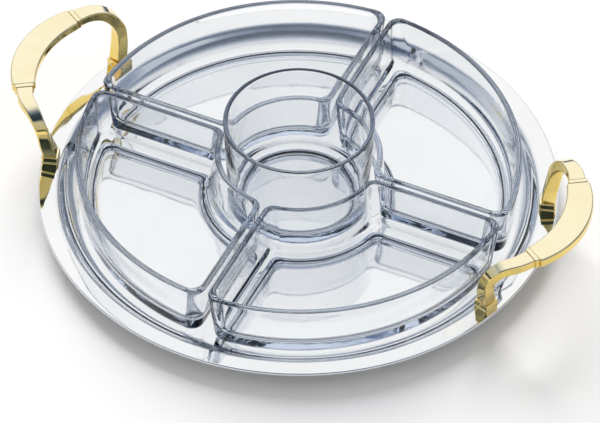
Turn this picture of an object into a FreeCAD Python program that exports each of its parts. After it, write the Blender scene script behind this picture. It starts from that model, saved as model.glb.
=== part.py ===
import FreeCAD, Part
import math
import os

import Sketcher

# Chip and dip server, in millimetres.  A round steel tray stands on the table.  Four glass
# dishes, each a quarter of a ring, stand on its floor around a taller glass dip bowl, and all
# five lift out.  Two gilt loop handles stand on the tray's flange, at +X and -X.
#
# +Z is up, +X runs through the handles, and the origin is the tray's centre on the table.

Vector = FreeCAD.Vector
UP = Vector(0, 0, 1)

SIZES = {
    # tray, pressed from one sheet
    "tray_radius": 177.5,
    "flange_width": 14.0,
    "flange_rise": 12.0,
    "wall_run": 15.5,
    "steel": 1.2,
    "hem_width": 1.6,
    "hem_round": 1.1,
    # quarter-ring dishes; their rims overhang the tray's hollow wall
    "dish_overhang": 4.0,
    "dish_gap": 2.4,
    "dish_height": 43.5,
    "dish_wall": 4.0,
    "dish_base": 5.5,
    "dish_draft": 5.0,
    "dish_corner": 8.0,
    "dish_inside_corner": 8.5,
    "dish_heel": 7.0,
    "dish_inside_heel": 7.0,
    "rim_round": 1.8,
    # dip bowl; the gap is to the dishes around it
    "bowl_radius": 51.4,
    "bowl_gap": 1.6,
    "bowl_height": 73.5,
    "bowl_wall": 3.0,
    "bowl_taper": 3.8,
    "bowl_base_wall": 4.1,
    "bowl_base": 8.0,
    "bowl_heel": 6.0,
    "bowl_inside_heel": 10.0,
    "bowl_rim_round": 1.35,
    # feet, square blocks half way across the flange
    "foot_angle": 17.8,
    "foot_width": 11.4,
    "foot_height": 9.6,
    "foot_round": 1.0,
    "foot_groove": 0.6,
    "foot_groove_height": 1.0,
    # legs and arms, from the foot up to the shoulder and out to the grip
    "leg_width": 9.4,
    "shoulder_lean": 3.0,
    "shoulder_spread": 6.2,
    "shoulder_rise": 33.5,
    "shoulder_width": 8.6,
    "shoulder_thick": 8.0,
    "arm_width": 11.6,
    "arm_thick": 6.6,
    # ferrules between arms and grip
    "ferrule_length": 3.4,
    "ferrule_width": 13.4,
    "ferrule_thick": 7.6,
    "ferrule_round": 0.8,
    # grip, a curved flat bar whose middle stands out past the tray and above its flange
    "grip_out": 23.0,
    "grip_rise": 50.6,
    "grip_bend": 67.0,
    "grip_angle": 33.5,
    "grip_width": 19.6,
    "grip_end_width": 16.0,
    "grip_thick": 7.0,
    "grip_round": 1.6,
    # fasteners, and how far they bite into the pieces they hold
    "stud_radius": 1.7,
    "stud_bite": 8.8,
    "screw_radius": 2.0,
    "screw_bite": 3.4,
    "screw_head_radius": 3.6,
    "screw_head": 2.6,
    "washer_radius": 4.2,
    "washer": 0.8,
    "fit": 0.05,
    "hole_gap": 0.2,
}

# Sizes that follow from the ones above, as expressions on the sheet.
LIP_RADIUS = "(Sizes.tray_radius - Sizes.flange_width)"
FLOOR_RADIUS = f"({LIP_RADIUS} - Sizes.wall_run)"
DISH_OUTER = f"({FLOOR_RADIUS} + Sizes.dish_overhang)"
DISH_INNER = "(Sizes.bowl_radius + Sizes.bowl_gap)"
DISH_DEPTH = "(Sizes.dish_height - Sizes.dish_base)"
BOWL_BASE_RADIUS = "(Sizes.bowl_radius - Sizes.bowl_taper)"
BOWL_FLOOR_RADIUS = f"({BOWL_BASE_RADIUS} - Sizes.bowl_base_wall)"
FOOT_RADIUS = "(Sizes.tray_radius - Sizes.flange_width / 2)"
FOOT_REACH = f"({FOOT_RADIUS} * cos(Sizes.foot_angle * 1deg))"
FOOT_SPREAD = f"({FOOT_RADIUS} * sin(Sizes.foot_angle * 1deg))"
GRIP_REACH = "(Sizes.tray_radius + Sizes.grip_out)"
GRIP_TOP = "(Sizes.flange_rise + Sizes.grip_rise)"
STUD_BORE = "(Sizes.stud_radius + Sizes.fit)"
SCREW_BORE = "(Sizes.screw_radius + Sizes.fit)"
SCREW_HOLE = "(Sizes.screw_radius + Sizes.hole_gap)"

doc = FreeCAD.newDocument("ChipAndDipServer")
sheet = doc.addObject("Spreadsheet::Sheet", "Sizes")
for row, (alias, value) in enumerate(SIZES.items(), start=1):
    sheet.set(f"A{row}", alias)
    sheet.set(f"B{row}", str(value))
    sheet.setAlias(f"B{row}", alias)
doc.recompute()


def size(alias):
    """The value of one cell of the sheet."""
    return float(sheet.get(alias))


def value(expression):
    """The value of an expression on the sheet, such as FOOT_REACH."""
    return float(sheet.evalExpression(expression))


# ---------------------------------------------------------------- helpers for sketched bodies


def new_body(label):
    body = doc.addObject("PartDesign::Body", label)
    body.Label = label
    return body


def new_sketch(body, name, role, height=None):
    """A sketch on one of the body's origin planes, lifted off it by an expression."""
    plane = next(f for f in body.Origin.OriginFeatures if f.Role == role)
    sketch = body.newObject("Sketcher::SketchObject", name)
    sketch.AttachmentSupport = [(plane, "")]
    sketch.MapMode = "FlatFace"
    if height:
        sketch.setExpression("AttachmentOffset.Base.z", height)
    return sketch


def bind(sketch, kind, *arguments):
    """Adds a dimension whose value is the expression in the last argument."""
    *geometry, value, expression = arguments
    index = sketch.addConstraint(Sketcher.Constraint(kind, *geometry, value))
    sketch.setExpression(f"Constraints[{index}]", expression)


def place_point(sketch, geometry, end, x, y, x_expression, y_expression):
    """Holds one end of a curve at a point given by two expressions."""
    if x_expression:
        bind(sketch, "DistanceX", -1, 1, geometry, end, x, x_expression)
    if y_expression:
        bind(sketch, "DistanceY", -1, 1, geometry, end, y, y_expression)


def polygon(sketch, corners):
    """A closed outline of straight lines.  Each corner is a pair of expressions, or None for 0."""
    points = [Vector(value(x or "0"), value(y or "0"), 0) for x, y in corners]
    count = len(points)
    for i in range(count):
        sketch.addGeometry(Part.LineSegment(points[i], points[(i + 1) % count]), False)
    for i in range(count):
        sketch.addConstraint(Sketcher.Constraint("Coincident", i, 2, (i + 1) % count, 1))
    for i, (x, y) in enumerate(corners):
        place_point(sketch, i, 1, points[i].x, points[i].y, x, y)
        if not x:
            sketch.addConstraint(Sketcher.Constraint("PointOnObject", i, 1, -2))
        if not y:
            sketch.addConstraint(Sketcher.Constraint("PointOnObject", i, 1, -1))


def revolve(body, name, sketch):
    turned = body.newObject("PartDesign::Revolution", name)
    turned.Profile = sketch
    turned.ReferenceAxis = (sketch, ["V_Axis"])
    turned.Angle = 360.0
    return turned


def extrude(body, kind, name, sketch, length, reversed_way=False, draft=None):
    """A pad or a pocket whose length, and draft if it has one, are expressions."""
    feature = body.newObject(f"PartDesign::{kind}", name)
    feature.Profile = sketch
    feature.setExpression("Length", length)
    feature.Reversed = reversed_way
    if draft:
        feature.setExpression("TaperAngle", draft)
    return feature


def fillet(body, name, base, radius, wanted):
    """Rounds every edge of base for which wanted(edge) is true."""
    doc.recompute()
    names = [f"Edge{i}" for i, edge in enumerate(base.Shape.Edges, start=1) if wanted(edge)]
    if not names:
        raise RuntimeError(f"{body.Label}.{name}: no edge to round")
    feature = body.newObject("PartDesign::Fillet", name)
    feature.Base = (base, names)
    feature.setExpression("Radius", radius)
    doc.recompute()
    return feature


def ring_edge(radius, height):
    """A test for a round edge about Z of the given radius and height."""
    def wanted(edge):
        if not isinstance(edge.Curve, Part.Circle):
            return False
        return abs(edge.Curve.Radius - radius) < 0.02 and abs(edge.Curve.Center.z - height) < 0.02
    return wanted


def checked_cut(feature, before):
    """Stops if a cut took nothing away."""
    doc.recompute()
    if feature.Shape.Volume > before - 1.0:
        raise RuntimeError(f"{feature.Name} cuts nothing")


# ---------------------------------------------------------------- tray


def foot_places(side):
    """The two foot centres of the handle at +X (side 1) or -X (side -1)."""
    return [(side * value(FOOT_REACH), across * value(FOOT_SPREAD)) for across in (1, -1)]


def make_tray():
    """One sheet: flat floor, hollow wall, flat flange with its edge folded under."""
    body = new_body("tray")
    sketch = new_sketch(body, "TrayProfile", "XZ_Plane")
    steel, rise = size("steel"), size("flange_rise")
    floor, lip, edge = value(FLOOR_RADIUS), value(LIP_RADIUS), size("tray_radius")
    hem = edge - size("hem_width")
    run = lip - floor
    depth = rise - steel
    bend = (run * run + depth * depth) / (2 * depth)
    centre = Vector(floor, steel + bend, 0)
    top_angle = math.atan2(rise - centre.y, run)
    outer = bend + steel
    under_angle = math.asin((rise - steel - centre.y) / outer)
    under = floor + outer * math.cos(under_angle)
    down = -math.pi / 2
    curves = [
        Part.LineSegment(Vector(0, steel, 0), Vector(floor, steel, 0)),
        Part.ArcOfCircle(Part.Circle(centre, UP, bend), down, top_angle),
        Part.LineSegment(Vector(lip, rise, 0), Vector(edge, rise, 0)),
        Part.LineSegment(Vector(edge, rise, 0), Vector(edge, rise - 2 * steel, 0)),
        Part.LineSegment(Vector(edge, rise - 2 * steel, 0), Vector(hem, rise - 2 * steel, 0)),
        Part.LineSegment(Vector(hem, rise - 2 * steel, 0), Vector(hem, rise - steel, 0)),
        Part.LineSegment(Vector(hem, rise - steel, 0), Vector(under, rise - steel, 0)),
        Part.ArcOfCircle(Part.Circle(centre, UP, outer), down, under_angle),
        Part.LineSegment(Vector(floor, 0, 0), Vector(0, 0, 0)),
        Part.LineSegment(Vector(0, 0, 0), Vector(0, steel, 0)),
    ]
    for curve in curves:
        sketch.addGeometry(curve, False)
    joins = [(1, 2, 2, 1), (2, 2, 3, 1), (3, 2, 4, 1), (4, 2, 5, 1), (5, 2, 6, 1),
             (6, 2, 7, 2), (7, 1, 8, 1), (8, 2, 9, 1), (9, 2, 0, 1), (1, 3, 7, 3)]
    for join in joins:
        sketch.addConstraint(Sketcher.Constraint("Coincident", *join))
    sketch.addConstraint(Sketcher.Constraint("Tangent", 0, 2, 1, 1))
    for line in (0, 2, 4, 6, 8):
        sketch.addConstraint(Sketcher.Constraint("Horizontal", line))
    for line in (3, 5, 9):
        sketch.addConstraint(Sketcher.Constraint("Vertical", line))
    sketch.addConstraint(Sketcher.Constraint("Coincident", 8, 2, -1, 1))
    place_point(sketch, 0, 2, floor, steel, FLOOR_RADIUS, "Sizes.steel")
    place_point(sketch, 2, 1, lip, rise, LIP_RADIUS, "Sizes.flange_rise")
    place_point(sketch, 3, 2, edge, rise - 2 * steel,
                "Sizes.tray_radius", "Sizes.flange_rise - 2 * Sizes.steel")
    place_point(sketch, 5, 2, hem, rise - steel,
                "Sizes.tray_radius - Sizes.hem_width", "Sizes.flange_rise - Sizes.steel")
    bind(sketch, "DistanceX", -1, 1, 8, 1, floor, FLOOR_RADIUS)
    doc.recompute()
    turned = revolve(body, "Sheet", sketch)
    rounded = fillet(
        body, "EdgeRound", turned, "min(Sizes.hem_round; 0.92 * Sizes.steel)",
        lambda e: ring_edge(edge, rise)(e) or ring_edge(edge, rise - 2 * steel)(e))

    holes = new_sketch(body, "ScrewHoles", "XY_Plane")
    bore = value(SCREW_HOLE)
    first = None
    for side in (1, -1):
        for x, y in foot_places(side):
            index = holes.addGeometry(Part.Circle(Vector(x, y, 0), UP, bore), False)
            across = 1 if y > 0 else -1
            place_point(holes, index, 3, x, y, f"{side} * {FOOT_REACH}", f"{across} * {FOOT_SPREAD}")
            if first is None:
                first = index
                bind(holes, "Radius", index, bore, SCREW_HOLE)
            else:
                holes.addConstraint(Sketcher.Constraint("Equal", first, index))
    before = rounded.Shape.Volume
    cut = body.newObject("PartDesign::Pocket", "Holes")
    cut.Profile = holes
    cut.Type = "ThroughAll"
    cut.Reversed = True
    checked_cut(cut, before)
    return body


# ---------------------------------------------------------------- glass


def sector(sketch, inset_expression, inset):
    """A quarter of a ring between the X and Y axes, drawn in by an inset all round.

    Two arcs about the origin and two lines that run beside the axes, so that a neighbour
    turned by a quarter leaves the dish gap between them.
    """
    outer = value(DISH_OUTER) - inset
    inner = value(DISH_INNER) + inset
    beside = size("dish_gap") / 2 + inset
    far = math.sqrt(outer * outer - beside * beside)
    near = math.sqrt(inner * inner - beside * beside)
    origin = Vector(0, 0, 0)
    curves = [
        Part.LineSegment(Vector(near, beside, 0), Vector(far, beside, 0)),
        Part.ArcOfCircle(Part.Circle(origin, UP, outer),
                         math.asin(beside / outer), math.acos(beside / outer)),
        Part.LineSegment(Vector(beside, far, 0), Vector(beside, near, 0)),
        Part.ArcOfCircle(Part.Circle(origin, UP, inner),
                         math.asin(beside / inner), math.acos(beside / inner)),
    ]
    for curve in curves:
        sketch.addGeometry(curve, False)
    for join in ((0, 2, 1, 1), (1, 2, 2, 1), (2, 2, 3, 2), (3, 1, 0, 1), (1, 3, -1, 1), (3, 3, -1, 1)):
        sketch.addConstraint(Sketcher.Constraint("Coincident", *join))
    sketch.addConstraint(Sketcher.Constraint("Horizontal", 0))
    sketch.addConstraint(Sketcher.Constraint("Vertical", 2))
    bind(sketch, "Radius", 1, outer, f"{DISH_OUTER} - {inset_expression}")
    bind(sketch, "Radius", 3, inner, f"{DISH_INNER} + {inset_expression}")
    bind(sketch, "DistanceY", -1, 1, 0, 1, beside, f"Sizes.dish_gap / 2 + {inset_expression}")
    bind(sketch, "DistanceX", -1, 1, 2, 1, beside, f"Sizes.dish_gap / 2 + {inset_expression}")


def upright(low, high):
    """A test for a corner edge that runs from the height low to the height high."""
    def wanted(edge):
        box = edge.BoundBox
        return abs(box.ZMin - low) < 0.05 and abs(box.ZMax - high) < 0.05
    return wanted


def level(height):
    """A test for an edge that lies flat at one height."""
    def wanted(edge):
        box = edge.BoundBox
        return abs(box.ZMin - height) < 0.05 and abs(box.ZMax - height) < 0.05
    return wanted


def make_dish(label, quarter_turns):
    """A thick drafted tray of glass with rounded corners, heels and rim."""
    body = new_body(label)
    height, base = size("dish_height"), size("dish_base")
    outline = new_sketch(body, "Rim", "XY_Plane", "Sizes.dish_height")
    sector(outline, "0", 0.0)
    block = extrude(body, "Pad", "Block", outline, "Sizes.dish_height", True, "-Sizes.dish_draft")
    doc.recompute()
    corners = fillet(body, "Corners", block, "Sizes.dish_corner", upright(0.0, height))
    heel = fillet(body, "Heel", corners, "Sizes.dish_heel", level(0.0))

    hollow = new_sketch(body, "Inside", "XY_Plane", "Sizes.dish_height")
    sector(hollow, "Sizes.dish_wall", size("dish_wall"))
    before = heel.Shape.Volume
    cavity = extrude(body, "Pocket", "Hollow", hollow, DISH_DEPTH, False, "-Sizes.dish_draft")
    checked_cut(cavity, before)
    inside = fillet(body, "InsideCorners", cavity, "Sizes.dish_inside_corner",
                    upright(base, height))
    floor = fillet(body, "InsideHeel", inside, "Sizes.dish_inside_heel", level(base))
    fillet(body, "RimRound", floor, "min(Sizes.rim_round; 0.45 * Sizes.dish_wall)", level(height))
    body.Placement = FreeCAD.Placement(
        Vector(0, 0, size("steel")), FreeCAD.Rotation(UP, 90.0 * quarter_turns))
    return body


def make_bowl():
    """A tall round bowl with a thick floor."""
    body = new_body("dip_bowl")
    sketch = new_sketch(body, "BowlProfile", "XZ_Plane")
    inside = "Sizes.bowl_radius - Sizes.bowl_wall"
    polygon(sketch, [
        (None, None),
        (BOWL_BASE_RADIUS, None),
        ("Sizes.bowl_radius", "Sizes.bowl_height"),
        (inside, "Sizes.bowl_height"),
        (BOWL_FLOOR_RADIUS, "Sizes.bowl_base"),
        (None, "Sizes.bowl_base"),
    ])
    turned = revolve(body, "Glass", sketch)
    top = size("bowl_height")
    heel = fillet(body, "Heel", turned, "Sizes.bowl_heel",
                  ring_edge(value(BOWL_BASE_RADIUS), 0.0))
    floor = fillet(body, "InsideHeel", heel, "Sizes.bowl_inside_heel",
                   ring_edge(value(BOWL_FLOOR_RADIUS), size("bowl_base")))
    fillet(body, "RimRound", floor, "min(Sizes.bowl_rim_round; 0.45 * Sizes.bowl_wall)",
           lambda e: isinstance(e.Curve, Part.Circle) and abs(e.Curve.Center.z - top) < 0.02)
    body.Placement = FreeCAD.Placement(Vector(0, 0, size("steel")), FreeCAD.Rotation())
    return body


# ---------------------------------------------------------------- handles
#
# A handle is drawn at +X: x is the reach from the tray's centre, y runs along the grip.
# The one at -X is the same, turned half round.


def grip_end(across):
    """The centre of the grip's end face, and the way out of it, on one side of the handle."""
    angle = math.radians(size("grip_angle"))
    bend = size("grip_bend")
    x = value(GRIP_REACH) - bend + bend * math.cos(angle)
    y = across * bend * math.sin(angle)
    z = value(GRIP_TOP) - size("grip_thick") / 2
    return Vector(x, y, z), Vector(-math.sin(angle), across * math.cos(angle), 0)


def half_turn(side):
    return FreeCAD.Placement(Vector(0, 0, 0), FreeCAD.Rotation(UP, 0.0 if side > 0 else 180.0))


def make_grip(label, side):
    """A flat bar bent to an arc, broadest at its middle, with a bore in each end."""
    body = new_body(label)
    sketch = new_sketch(body, "GripPlan", "XY_Plane", f"{GRIP_TOP} - Sizes.grip_thick")
    angle = math.radians(size("grip_angle"))
    bend, reach = size("grip_bend"), value(GRIP_REACH)
    half_end, half_mid = size("grip_end_width") / 2, size("grip_width") / 2
    corner = {}
    for name, sign in (("outer", 1), ("inner", -1)):
        radius = bend + sign * half_end
        corner[name] = Vector(reach - bend + radius * math.cos(angle), radius * math.sin(angle), 0)
    flipped = {name: Vector(p.x, -p.y, 0) for name, p in corner.items()}
    middle = {"outer": reach + half_mid, "inner": reach - half_mid}
    for name in ("outer", "inner"):
        crown = Vector(middle[name], 0, 0)
        sketch.addGeometry(Part.Arc(flipped[name], crown, corner[name]), False)
    sketch.addGeometry(Part.LineSegment(corner["outer"], corner["inner"]), False)
    sketch.addGeometry(Part.LineSegment(flipped["inner"], flipped["outer"]), False)
    for join in ((0, 2, 2, 1), (2, 2, 1, 2), (1, 1, 3, 1), (3, 2, 0, 1)):
        sketch.addConstraint(Sketcher.Constraint("Coincident", *join))
    for arc in (0, 1):
        sketch.addConstraint(Sketcher.Constraint("Symmetric", arc, 1, arc, 2, -1))
    centre = f"({GRIP_REACH} - Sizes.grip_bend)"
    for arc, name, sign in ((0, "outer", "+"), (1, "inner", "-")):
        radius = f"(Sizes.grip_bend {sign} Sizes.grip_end_width / 2)"
        place_point(sketch, arc, 2, corner[name].x, corner[name].y,
                    f"{centre} + {radius} * cos(Sizes.grip_angle * 1deg)",
                    f"{radius} * sin(Sizes.grip_angle * 1deg)")
        crown = sketch.addGeometry(Part.Point(Vector(middle[name], 0, 0)), True)
        sketch.addConstraint(Sketcher.Constraint("PointOnObject", crown, 1, arc))
        sketch.addConstraint(Sketcher.Constraint("PointOnObject", crown, 1, -1))
        bind(sketch, "DistanceX", -1, 1, crown, 1, middle[name],
             f"{GRIP_REACH} {sign} Sizes.grip_width / 2")
    bar = extrude(body, "Pad", "Bar", sketch, "Sizes.grip_thick")
    high = value(GRIP_TOP)
    low = high - size("grip_thick")
    rounded = fillet(body, "Rounds", bar, "Sizes.grip_round",
                     lambda e: isinstance(e.Curve, Part.Circle)
                     and (level(low)(e) or level(high)(e)))
    previous = rounded
    for across in (1, -1):
        previous = bore_grip(body, previous, across)
    body.Placement = half_turn(side)
    return body


def bore_grip(body, base, across):
    """A blind bore into one end of the grip, for its stud."""
    end, way_out = grip_end(across)
    name = "First" if across > 0 else "Second"
    sketch = new_sketch(body, f"{name}BoreMouth", "XY_Plane")
    sketch.AttachmentOffset = FreeCAD.Placement(end, FreeCAD.Rotation(UP, way_out))
    radius = value(STUD_BORE)
    sketch.addGeometry(Part.Circle(Vector(0, 0, 0), UP, radius), False)
    sketch.addConstraint(Sketcher.Constraint("Coincident", 0, 3, -1, 1))
    bind(sketch, "Radius", 0, radius, STUD_BORE)
    before = base.Shape.Volume
    cut = extrude(body, "Pocket", f"{name}Bore", sketch, "Sizes.stud_bite")
    checked_cut(cut, before)
    return cut


def rounded_section(centre, along, up, width, thick, corner):
    """A closed wire: a rectangle with round corners, across the direction along."""
    side = along.cross(up)
    side.normalize()
    lift = side.cross(along)
    half_w, half_t = width / 2, thick / 2

    def at(s, t):
        return centre + side * s + lift * t

    diagonal = corner * (1 - math.sqrt(0.5))
    edges = []
    turns = [(1, -1), (1, 1), (-1, 1), (-1, -1)]
    for i, (s, t) in enumerate(turns):
        near_s, near_t = s * (half_w - corner), t * (half_t - corner)
        first, last = at(s * half_w, near_t), at(near_s, t * half_t)
        if s * t < 0:
            first, last = last, first
        middle = at(s * (half_w - diagonal), t * (half_t - diagonal))
        edges.append(Part.Arc(first, middle, last).toShape())
        s2, t2 = turns[(i + 1) % 4]
        if s == s2:
            edges.append(Part.makeLine(last, at(s * half_w, t2 * (half_t - corner))))
        else:
            edges.append(Part.makeLine(last, at(s2 * (half_w - corner), t * half_t)))
    return Part.Wire(edges)


def arm_path(across):
    """Centres of the arm's sections, from the ferrule's face down to the foot's top.

    The arm leaves the grip in line with it, spreads and drops to the shoulder, and the leg
    comes down from there and back in to the foot.
    """
    end, way_out = grip_end(across)
    start = end + way_out * size("ferrule_length")
    straight = start + way_out * size("stud_bite")
    foot = Vector(value(FOOT_REACH), across * value(FOOT_SPREAD),
                  size("flange_rise") + size("foot_height"))
    shoulder = Vector(foot.x + size("shoulder_lean"),
                      across * (value(FOOT_SPREAD) + size("shoulder_spread")),
                      size("flange_rise") + size("shoulder_rise"))
    over = straight * 0.5 + shoulder * 0.5 + Vector(0, across * 1.5, 3.0)
    knee = foot * 0.45 + shoulder * 0.55 + Vector(-0.6, across, 0)
    return [start, straight - UP * 0.3, over, shoulder, knee, foot]


def make_arm(label, side, across):
    """Arm and leg in one casting, a squared bar that turns over at the shoulder."""
    path = arm_path(across)
    end, way_out = grip_end(across)
    widths = ["arm_width", None, None, "shoulder_width", None, "leg_width"]
    thicks = ["arm_thick", None, None, "shoulder_thick", None, "leg_width"]
    shares = [0.0, 0.3, 0.75, 1.0, 1.5, 2.0]

    def between(names, share):
        ends = [size(n) for n in names if n]
        piece = min(int(share), 1)
        return ends[piece] + (ends[piece + 1] - ends[piece]) * (share - piece)

    tangents = [way_out]
    for before, after in zip(path[:-2], path[2:]):
        step = after - before
        step.normalize()
        tangents.append(step)
    tangents.append(Vector(0, 0, -1))
    up = Vector(UP)
    wires = []
    for point, along, share in zip(path, tangents, shares):
        up = up - along * up.dot(along)
        up.normalize()
        width, thick = between(widths, share), between(thicks, share)
        wires.append(rounded_section(point, along, up, width, thick, size("grip_round")))
    shape = Part.makeLoft(wires, True, False)
    stud_bore = Part.makeCylinder(value(STUD_BORE), size("stud_bite"), path[0], way_out)
    screw_bore = Part.makeCylinder(value(SCREW_BORE), size("screw_bite"), path[-1], UP)
    feature = doc.addObject("Part::Feature", label)
    feature.Label = label
    feature.Shape = shape.cut([stud_bore, screw_bore])
    feature.Placement = half_turn(side)
    return feature


def rectangle(sketch, wide, deep, wide_expression, deep_expression):
    """A rectangle centred on the sketch's origin, with both sides bound."""
    first = sketch.GeometryCount
    half_w, half_d = wide / 2, deep / 2
    corners = [Vector(s * half_w, t * half_d, 0) for s, t in ((-1, -1), (1, -1), (1, 1), (-1, 1))]
    for i in range(4):
        sketch.addGeometry(Part.LineSegment(corners[i], corners[(i + 1) % 4]), False)
    lines = range(first, first + 4)
    for line, following in zip(lines, [*lines[1:], first]):
        sketch.addConstraint(Sketcher.Constraint("Coincident", line, 2, following, 1))
    for i, line in enumerate(lines):
        sketch.addConstraint(Sketcher.Constraint("Vertical" if i % 2 else "Horizontal", line))
    sketch.addConstraint(Sketcher.Constraint("Symmetric", first, 1, first + 2, 1, -1, 1))
    bind(sketch, "DistanceX", first, 1, first, 2, wide, wide_expression)
    bind(sketch, "DistanceY", first + 1, 1, first + 1, 2, deep, deep_expression)


def bore_through(body, base, radius, length):
    """A round hole up the body's own Z axis, from its XY plane."""
    mouth = new_sketch(body, "BoreMouth", "XY_Plane")
    mouth.addGeometry(Part.Circle(Vector(0, 0, 0), UP, value(radius)), False)
    mouth.addConstraint(Sketcher.Constraint("Coincident", 0, 3, -1, 1))
    bind(mouth, "Radius", 0, value(radius), radius)
    before = base.Shape.Volume
    cut = extrude(body, "Pocket", "Bore", mouth, length, True)
    checked_cut(cut, before)


def make_ferrule(label, side, across):
    """A short block between grip and arm, proud of the arm, with the stud's bore through it."""
    body = new_body(label)
    sketch = new_sketch(body, "Outline", "XY_Plane")
    rectangle(sketch, size("ferrule_width"), size("ferrule_thick"),
              "Sizes.ferrule_width", "Sizes.ferrule_thick")
    block = extrude(body, "Pad", "Block", sketch, "Sizes.ferrule_length")
    doc.recompute()
    rounded = fillet(body, "Rounds", block, "Sizes.ferrule_round",
                     upright(0.0, size("ferrule_length")))
    bore_through(body, rounded, STUD_BORE, "Sizes.ferrule_length")
    end, way_out = grip_end(across)
    standing = FreeCAD.Rotation(way_out.cross(UP), UP, way_out, "ZYX")
    body.Placement = half_turn(side).multiply(FreeCAD.Placement(end, standing))
    return body


def make_foot(label, side, across):
    """The block that the leg stands on: square, grooved half way up, bored for the screw."""
    body = new_body(label)
    height, width = size("foot_height"), size("foot_width")
    sketch = new_sketch(body, "Outline", "XY_Plane")
    rectangle(sketch, width, width, "Sizes.foot_width", "Sizes.foot_width")
    block = extrude(body, "Pad", "Block", sketch, "Sizes.foot_height")
    doc.recompute()
    rounded = fillet(body, "Corners", block, "Sizes.foot_round", upright(0.0, height))

    ring = new_sketch(body, "GrooveRing", "XY_Plane",
                      "(Sizes.foot_height - Sizes.foot_groove_height) / 2")
    waist = width - 2 * size("foot_groove")
    rectangle(ring, 2 * width, 2 * width, "2 * Sizes.foot_width", "2 * Sizes.foot_width")
    rectangle(ring, waist, waist, "Sizes.foot_width - 2 * Sizes.foot_groove",
              "Sizes.foot_width - 2 * Sizes.foot_groove")
    before = rounded.Shape.Volume
    groove = extrude(body, "Pocket", "Waist", ring, "Sizes.foot_groove_height", True)
    checked_cut(groove, before)
    bore_through(body, groove, SCREW_BORE, "Sizes.foot_height")
    place = Vector(value(FOOT_REACH), across * value(FOOT_SPREAD), size("flange_rise"))
    square = FreeCAD.Rotation(UP, across * size("foot_angle"))
    body.Placement = half_turn(side).multiply(FreeCAD.Placement(place, square))
    return body


def make_group(label, shapes):
    """Identical fasteners, as separate solids under one name."""
    feature = doc.addObject("Part::Feature", label)
    feature.Label = label
    feature.Shape = Part.makeCompound(shapes)
    return feature


def stud(side, across):
    """A plain dowel through the ferrule, half in the grip and half in the arm."""
    end, way_out = grip_end(across)
    bite = size("stud_bite")
    length = size("ferrule_length") + 2 * bite
    rod = Part.makeCylinder(size("stud_radius"), length, end - way_out * bite, way_out)
    return rod.transformGeometry(half_turn(side).toMatrix())


def screw(x, y):
    """A round-headed screw, driven up through washer, flange and foot into the leg."""
    under = size("flange_rise") - size("steel") - size("washer")
    length = size("washer") + size("steel") + size("foot_height") + size("screw_bite")
    shank = Part.makeCylinder(size("screw_radius"), length, Vector(x, y, under))
    head_height, head_radius = size("screw_head"), size("screw_head_radius")
    head = Part.makeCylinder(head_radius, head_height, Vector(x, y, under - head_height))
    low_edge = [e for e in head.Edges if level(under - head_height)(e)]
    head = head.makeFillet(head_height * 0.45, low_edge)
    return shank.fuse(head).removeSplitter()


def washer(x, y):
    under = size("flange_rise") - size("steel") - size("washer")
    disc = Part.makeCylinder(size("washer_radius"), size("washer"), Vector(x, y, under))
    hole = Part.makeCylinder(value(SCREW_HOLE), size("washer"), Vector(x, y, under))
    return disc.cut(hole)


def make_handle(name, side):
    """All the pieces of one handle."""
    pieces = [make_grip(f"{name}_handle_grip", side)]
    for end, across in (("rear", side), ("front", -side)):
        pieces.append(make_ferrule(f"{name}_{end}_ferrule", side, across))
        pieces.append(make_arm(f"{name}_{end}_arm", side, across))
        pieces.append(make_foot(f"{name}_{end}_foot", side, across))
    places = foot_places(side)
    pieces.append(make_group(f"{name}_grip_studs", [stud(side, 1), stud(side, -1)]))
    pieces.append(make_group(f"{name}_foot_screws", [screw(x, y) for x, y in places]))
    pieces.append(make_group(f"{name}_foot_washers", [washer(x, y) for x, y in places]))
    return pieces


# ---------------------------------------------------------------- the whole server

pieces = [make_tray(), make_bowl()]
DISHES = ["rear_right_dish", "rear_left_dish", "front_left_dish", "front_right_dish"]
for turns, label in enumerate(DISHES):
    pieces.append(make_dish(label, turns))
for name, side in (("right", 1), ("left", -1)):
    pieces += make_handle(name, side)

doc.recompute()
for item in doc.Objects:
    if "Invalid" in item.State or "Error" in item.State:
        raise RuntimeError(f"{item.Label} failed: {item.State}")
for piece in pieces:
    if piece.Shape.isNull() or not piece.Shape.isValid():
        raise RuntimeError(f"{piece.Label} has no valid shape")

os.makedirs("parts", exist_ok=True)
for piece in pieces:
    piece.Shape.exportStep(os.path.join("parts", f"{piece.Label}.step"))
    solids = len(piece.Shape.Solids)
    print(f"{piece.Label}: {solids} solid(s), {piece.Shape.Volume / 1000:.2f} cm3")
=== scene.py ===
# %% [markdown]
# # A chip and dip server
# A round tray of polished steel carries four clear glass dishes, each a quarter of a ring, around
# a taller glass dip bowl.  Two gilt loop handles stand on the tray's flange.
#
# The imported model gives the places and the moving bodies.  This lesson replaces its plain solids
# with surfaces worked out as arrays, and gives each finish a material of its own.

# %% Load the frame
import math

import bmesh
import bpy
import numpy as np
from mathutils import Matrix


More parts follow.
